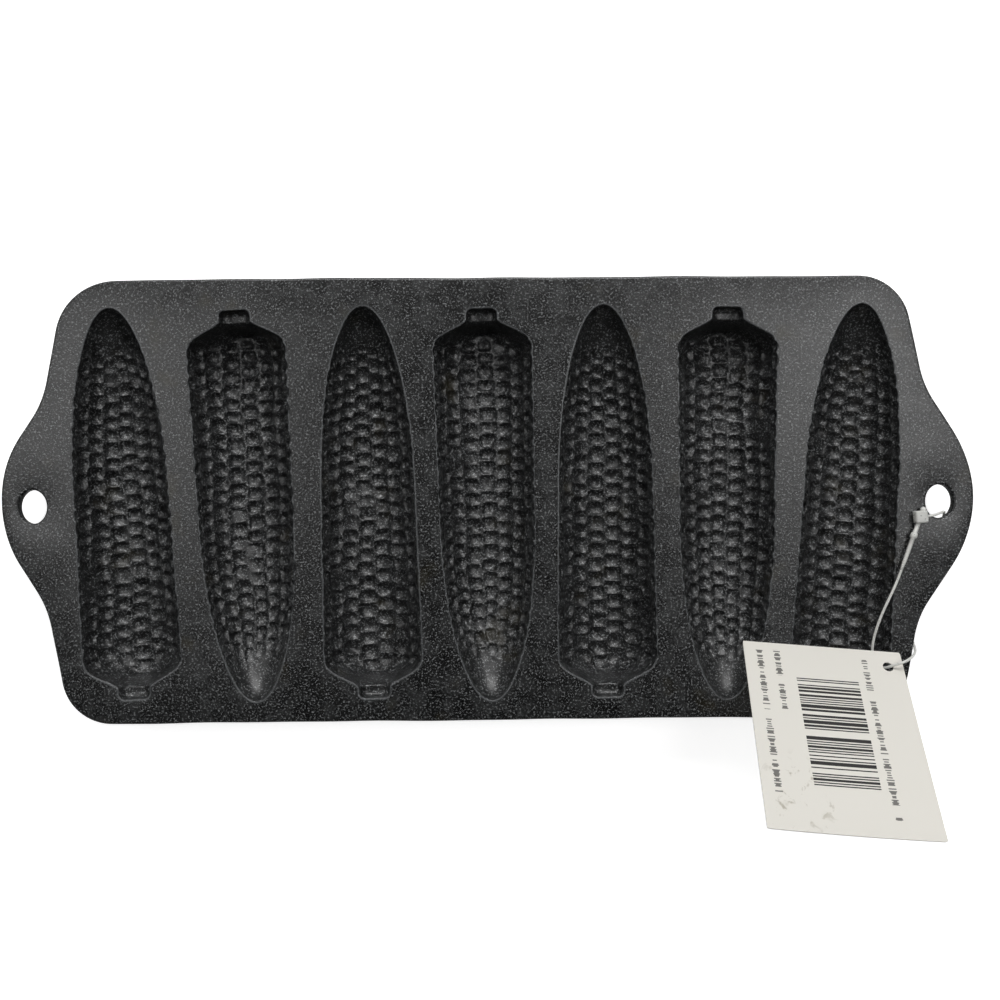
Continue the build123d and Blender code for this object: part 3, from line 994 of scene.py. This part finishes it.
print("the fill keeps to its loops within", FILL_NEAR, "mm")

# %% The plate as one piece
HOLE_LENGTH, HOLE_WIDTH = 11.8, 9.8
HOLE_ROLL = 0.8


def placed_edge(index):
    """The outline of a cavity's flange in the pan's frame, running clockwise as a hole does."""
    matrix = cob_matrix(index)
    return cob_edge @ matrix[:2, :2].T + matrix[:2, 3]


def oval(centre, length, width, count=64):
    """An oval hole's loop, clockwise."""
    turn = -np.linspace(0, 2 * math.pi, count, endpoint=False)
    return np.column_stack([centre.x / MM + width / 2 * np.cos(turn),
                            centre.y / MM + length / 2 * np.sin(turn)])


ears = [oval(mounts[name], HOLE_LENGTH, HOLE_WIDTH) for name in ("hang_hole_left", "hang_hole_right")]
holes = [(placed_edge(index), 0) for index in range(COB_COUNT)] + [(ear, HOLE_ROLL) for ear in ears]
plate_points, plate_faces = slab((plate_loop, EDGE_ROLL), holes, PLATE_TOP, PLATE_BOTTOM)
plate_mesh = new_mesh("pan_plate", (plate_points * MM).tolist(), plate_faces)
plate_mesh.materials.append(iron)
smooth_shade(plate_mesh, SMOOTH_ANGLE)
plate = add_piece("pan_plate", plate_mesh)
print("plate of", len(plate_mesh.vertices), "points and", len(plate_faces), "faces")

# %% [markdown]
# ## The card tag
# The tag is stiff white card with one punched hole. It stands up from its hole towards the camera
# and curls a little. It is built flat with the plate's own function, with extra points inside so
# that it can bend, and then curled and turned into its place. Its flat place stays as a UV map.

# %% The card's shape
TAG_WIDTH, TAG_HEIGHT, TAG_THICKNESS = 54.6, 68.1, 0.4
TAG_CORNER = 0.25
TAG_HOLE_RADIUS = 1.8
TAG_HOLE_TO_SIDE, TAG_HOLE_TO_TOP = 5.3, 6.2
TAG_TILT_DEG, TAG_TURN_DEG = 42.0, -4.8
TAG_CURL, TAG_CURL_REST = 0.9, 0.3
TAG_BOW_SHARE, TAG_BEND_SHARE = 0.8, 0.6
TAG_GRID, TAG_MARGIN = 4.0, 1.0
TAG_EDGE_ROLL, TAG_EDGE_STEP, TAG_CORNER_STEP = 0.06, 1.0, 0.2
TAG_HOLE_POINTS = 32
TAG_SHARP_ANGLE = math.radians(40)


def tag_matrix():
    """From the card's own frame, with its punched hole at the origin, to the pan's frame."""
    joint = next(joint for joint in frame["joints"] if joint["name"] == "tag_flip")
    turn = Matrix.Rotation(math.radians(TAG_TURN_DEG), 4, "Z")
    tilt = Matrix.Rotation(math.radians(-TAG_TILT_DEG), 4, "X")
    return Matrix.Translation(joint["pos_m"]) @ turn @ tilt


def tag_mesh():
    """The curled card, with its flat place kept as a UV map in millimetres."""
    left, right = TAG_HOLE_TO_SIDE - TAG_WIDTH, TAG_HOLE_TO_SIDE
    low, high = TAG_HOLE_TO_TOP - TAG_HEIGHT, TAG_HOLE_TO_TOP
    corners = [(left, low), (right, low), (right, high), (left, high)]
    loop = even_loop(rounded_loop(corners, [TAG_CORNER] * 4, TAG_CORNER_STEP), TAG_EDGE_STEP)
    punched = oval(Vector((0, 0)), 2 * TAG_HOLE_RADIUS, 2 * TAG_HOLE_RADIUS, TAG_HOLE_POINTS)
    columns = np.arange(left + TAG_GRID, right - TAG_MARGIN, TAG_GRID)
    rows = np.arange(low + TAG_GRID, high - TAG_MARGIN, TAG_GRID)
    inner = [(x, y) for x in columns for y in rows if math.hypot(x, y) > 2 * TAG_HOLE_RADIUS]
    points, faces = slab((loop, TAG_EDGE_ROLL), [(punched, 0.0)], TAG_THICKNESS / 2,
                         -TAG_THICKNESS / 2, inner)
    across = (points[:, 0] - (left + right) / 2) / TAG_WIDTH * 2
    down = (high - points[:, 1]) / TAG_HEIGHT
    curled = points.copy()
    bow = down * (across ** 2 - TAG_CURL_REST) * TAG_BOW_SHARE
    curled[:, 2] += TAG_CURL * bow + TAG_CURL * down ** 2 * TAG_BEND_SHARE
    matrix = np.array(tag_matrix())
    placed = curled @ matrix[:3, :3].T * MM + matrix[:3, 3]
    mesh = new_mesh("card_tag", placed.tolist(), faces)
    layer = mesh.uv_layers.new(name="card")
    spots = [corner.vertex_index for corner in mesh.loops]
    layer.data.foreach_set("uv", points[spots, :2].astype(np.float32).ravel())
    front = points[:, 2] > TAG_THICKNESS / 4
    store(mesh, "front", "FLOAT", front)
    return mesh


tag = add_piece("card_tag", tag_mesh())
print("card of", len(tag.data.vertices), "points")

# %% [markdown]
# The card is printed in black on its front. The print here is plain: a block of bars of uneven
# widths, and a few broken rules where lines of print would be. It is made of steps and random
# numbers on the card's own millimetres, so it needs no picture and stays sharp at any size.

# %% Helpers for steps and bars
def between(tree, value, low, high):
    """1 where low < value < high, and 0 elsewhere."""
    return product(tree, maths(tree, "GREATER_THAN", value, low), maths(tree, "LESS_THAN", value, high))


def step_chance(tree, value, step, seed):
    """A random number for each step along a value, the same all over the step."""
    keyed = maths(tree, "ADD", maths(tree, "FLOOR", maths(tree, "DIVIDE", value, step)), seed)
    return add_node(tree, "ShaderNodeTexWhiteNoise", {"W": keyed}, noise_dimensions="1D")[0]


print("helpers for print: between, step_chance")

# %% What is printed on the card
BAR_BLOCK = (-32.5, -11.5, -46.4, -6.5)
BAR_STEP, BAR_SEED, BAR_GAPS = 0.42, 11.5, 0.56
RULES = ((-8.0, -56.0, 2.0), (-38.0, -19.7, 3.4), (-44.0, -56.6, 2.9))
RULE_STEP, RULE_HALF_HEIGHT, RULE_LEAST_SHARE, RULE_INK = 0.42, 1.25, 0.45, 0.8
TICK_SEED, TICK_GAPS = 3.5, 0.45
WORD_STEP, WORD_SEED, WORD_GAPS = 3.4, 7.5, 0.12


def bar_nodes(tree, x, y):
    """A plain block of bars across the card, whose widths follow no code."""
    left, right, low, high = BAR_BLOCK
    bars = maths(tree, "GREATER_THAN", step_chance(tree, y, BAR_STEP, BAR_SEED), BAR_GAPS)
    return product(tree, bars, between(tree, x, left, right), between(tree, y, low, high))


def rule_nodes(tree, x, y, line):
    """A ruled line of short uneven ticks with gaps, which only looks like small print from afar."""
    centre, low, high = line
    away = maths(tree, "ABSOLUTE", maths(tree, "SUBTRACT", x, centre))
    height = ramp(tree, step_chance(tree, y, RULE_STEP, centre), 0.0, 1.0,
                  RULE_LEAST_SHARE * RULE_HALF_HEIGHT, RULE_HALF_HEIGHT, smooth=False)
    tall = maths(tree, "LESS_THAN", away, height)
    tick = maths(tree, "GREATER_THAN", step_chance(tree, y, RULE_STEP, TICK_SEED + centre), TICK_GAPS)
    word = maths(tree, "GREATER_THAN", step_chance(tree, y, WORD_STEP, WORD_SEED + centre), WORD_GAPS)
    return product(tree, tall, tick, word, between(tree, y, low, high), RULE_INK)


print("rules:", len(RULES), "and bars about", BAR_STEP, "mm wide")

# %% [markdown]
# Uncoated card is matt and slightly warm, with a faint fibre that only shows at a low angle. A tag
# that has been handled is a little soiled near one corner.

# %% Material: uncoated white card, printed
CARD, INK, GRIME = "#e5e2da", "#2a2928", "#857a5e"
CARD_ROUGHNESS = 0.75
FIBRE_SCALE, FIBRE_DETAIL, FIBRE_HEIGHT, FIBRE_STRENGTH = 1.5, 4.0, 0.05, 0.3
GRIME_SPOT, GRIME_REACH, GRIME_CORE = (-38.0, -50.0), 17.0, 4.0
GRIME_LOOK = {"Scale": 0.22, "Detail": 4.0, "Roughness": 0.6, "Distortion": 0.4}
GRIME_CUT, GRIME_STRENGTH = (0.6, 0.72), 0.6


def grime_nodes(tree, place):
    """Smudges from handling, near one corner of the card."""
    away = vector_maths(tree, "DISTANCE", {0: place, 1: (*GRIME_SPOT, 0)})["Value"]
    near = ramp(tree, away, GRIME_REACH, GRIME_CORE)
    smear = add_node(tree, "ShaderNodeTexNoise", {"Vector": place, **GRIME_LOOK}, noise_dimensions="2D")
    return product(tree, near, ramp(tree, smear["Fac"], *GRIME_CUT), GRIME_STRENGTH)


def make_card():
    """Off-white card with a faint fibre, a plain printed block and rules, and a little grime."""
    material, tree = new_material("printed_card")
    place = add_node(tree, "ShaderNodeUVMap", uv_map="card")[0]
    x, y, _ = parted(tree, place)
    print_mask = bar_nodes(tree, x, y)
    for line in RULES:
        print_mask = maths(tree, "MAXIMUM", print_mask, rule_nodes(tree, x, y, line))
    soiled = mix(tree, grime_nodes(tree, place), linear(CARD), linear(GRIME))
    base = mix(tree, product(tree, print_mask, kept_value(tree, "front")), soiled, linear(INK))
    fibre = noise(tree, place, FIBRE_SCALE, FIBRE_DETAIL)
    return principled(material, {"Base Color": base, "Roughness": CARD_ROUGHNESS,
                                 "Normal": bumps(tree, fibre, FIBRE_HEIGHT, FIBRE_STRENGTH)})


card = make_card()
tag.data.materials.append(card)
smooth_shade(tag.data, TAG_SHARP_ANGLE)
print("made", card.name)

# %% [markdown]
# ## Milky polypropylene
# The loop is moulded in natural polypropylene, which is milky and lets some light through. A little
# transmission and a soft gloss give it that waxy look.

# %% Material: natural polypropylene, moulded
PLASTIC = "#efefeb"
PLASTIC_CLOUDS_PER_METRE, PLASTIC_DETAIL = 900.0, 2.0
PLASTIC_GLOSS = (0.2, 0.4)
PLASTIC_LOOK = {"IOR": 1.49, "Transmission Weight": 0.3}


def make_plastic():
    """Milky, slightly see-through plastic."""
    material, tree = new_material("natural_polypropylene")
    place = add_node(tree, "ShaderNodeTexCoord")["Object"]
    cloud = noise(tree, place, PLASTIC_CLOUDS_PER_METRE, PLASTIC_DETAIL)
    gloss = ramp(tree, cloud, 0.0, 1.0, *PLASTIC_GLOSS, smooth=False)
    return principled(material, {"Base Color": linear(PLASTIC), "Roughness": gloss, **PLASTIC_LOOK})


plastic = make_plastic()
head = frame["nodes"]["loop_lock_head"]
head.data.materials.clear()
for piece in (strand, tail, head):
    piece.data.materials.append(plastic)
print("made", plastic.name)

# %% [markdown]
# ## Which body each piece rides on
# The pan is one body, the loop swings in the ear's hole and the tag turns on the loop.

# %% Ride and replace
for piece in [plate, *cavities]:
    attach(piece, "pan")
    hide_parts("pan_casting")
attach(tag, "tag")
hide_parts("hang_tag")
for piece, node in ((strand, "loop_filament"), (tail, "loop_barb")):
    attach(piece, "loop")
    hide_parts(node)

# %% [markdown]
# ## Floor
# The floor is white, and for the camera it also glows a little, so that it reads as plain white
# where nothing shades it and still keeps the pan's soft shadow. Reflections see that glow too, but
# not right under the pan, where the real floor lies in shade.

# %% Floor
FLOOR_SIZE = 4.0
FLOOR_COLOUR = "#f4f4f4"
FLOOR_GLOW = 0.8
PAN_SHADE = (0.19, 0.1, 1.0)
PAN_SHADE_FADE = (0.9, 1.3)


def make_floor():
    """White floor: lit like paper, and glowing a little for what looks straight at it."""
    material, tree = new_material("white_floor")
    rays = add_node(tree, "ShaderNodeLightPath")
    paper = add_node(tree, "ShaderNodeBsdfDiffuse", {"Color": linear(FLOOR_COLOUR)})
    place = add_node(tree, "ShaderNodeTexCoord")["Object"]
    spread = vector_maths(tree, "DIVIDE", {0: place, 1: PAN_SHADE})[0]
    away = vector_maths(tree, "LENGTH", {0: spread})["Value"]
    open_floor = ramp(tree, away, *PAN_SHADE_FADE)
    seen = maths(tree, "MAXIMUM", rays["Is Camera Ray"], product(tree, rays["Is Glossy Ray"], open_floor))
    seen = maths(tree, "MAXIMUM", seen, rays["Is Transmission Ray"])
    glow = add_node(tree, "ShaderNodeEmission", {"Strength": product(tree, seen, FLOOR_GLOW)})
    total = add_node(tree, "ShaderNodeAddShader", {0: paper[0], 1: glow[0]})
    add_node(tree, "ShaderNodeOutputMaterial", {"Surface": total[0]})
    return material


half = FLOOR_SIZE / 2
floor_corners = [(-half, -half, 0), (half, -half, 0), (half, half, 0), (-half, half, 0)]
floor_mesh = new_mesh("floor", floor_corners, [(0, 1, 2, 3)])
floor_mesh.materials.append(make_floor())
floor = add_piece("floor", floor_mesh)
print("floor", FLOOR_SIZE, "m wide")

# %% [markdown]
# ## Light
# The light comes from a wide soft panel beyond the pan and a smaller one high at each side. They
# brighten the plate's two ends and its far edge and leave its middle and near edge darker. One sun
# would throw a hard shadow, which a table in a soft box doesn't have.

# %% Light: name, place, width and height in metres, and power in watts
LAMPS = (
    ("far_panel", (0.05, 0.98, 0.78), (1.1, 0.45), 8.5),
    ("right_panel", (0.54, 0.2, 1.0), (0.42, 0.54), 2.25),
    ("left_panel", (-0.6, 0.16, 1.0), (0.42, 0.62), 1.7),
)


def area_light(name, place, size, power):
    """A rectangular soft light that points at the pan."""
    lamp = bpy.data.lights.new(name, "AREA")
    lamp.shape = "RECTANGLE"
    lamp.size, lamp.size_y = size
    lamp.energy = power
    light = add_piece(name, lamp)
    light.location = place
    light.rotation_mode = "QUATERNION"
    light.rotation_quaternion = (-Vector(place)).to_track_quat("-Z", "Y")


for lamp_facts in LAMPS:
    area_light(*lamp_facts)
print("lamps:", ", ".join(lamp_facts[0] for lamp_facts in LAMPS))

# %% [markdown]
# The room is dim and a little brighter on its far side, which gives the iron something soft to
# reflect. What looks straight at it, or through the plastic, sees plain white.

# %% The room round it
ROOM_NEAR, ROOM_FAR = 0.03, 0.45
ROOM_CUT = (0.05, 0.75)


def make_room():
    """A dim room that is brighter towards its far side, and plain white where the camera sees it."""
    room = bpy.data.worlds.new("soft_room")
    room.use_nodes = True
    tree = room.node_tree
    tree.nodes.clear()
    far = parted(tree, add_node(tree, "ShaderNodeTexCoord")["Generated"])[1]
    side = ramp(tree, far, *ROOM_CUT, ROOM_NEAR, ROOM_FAR)
    rays = add_node(tree, "ShaderNodeLightPath")
    white = maths(tree, "MAXIMUM", rays["Is Camera Ray"], rays["Is Transmission Ray"])
    strength = maths(tree, "MAXIMUM", white, side)
    sky = add_node(tree, "ShaderNodeBackground", {"Color": linear("#ffffff"), "Strength": strength})
    add_node(tree, "ShaderNodeOutputWorld", {"Surface": sky[0]})
    return room


bpy.context.scene.world = make_room()
bpy.context.scene.view_settings.view_transform = "Standard"
print("made", bpy.context.scene.world.name)
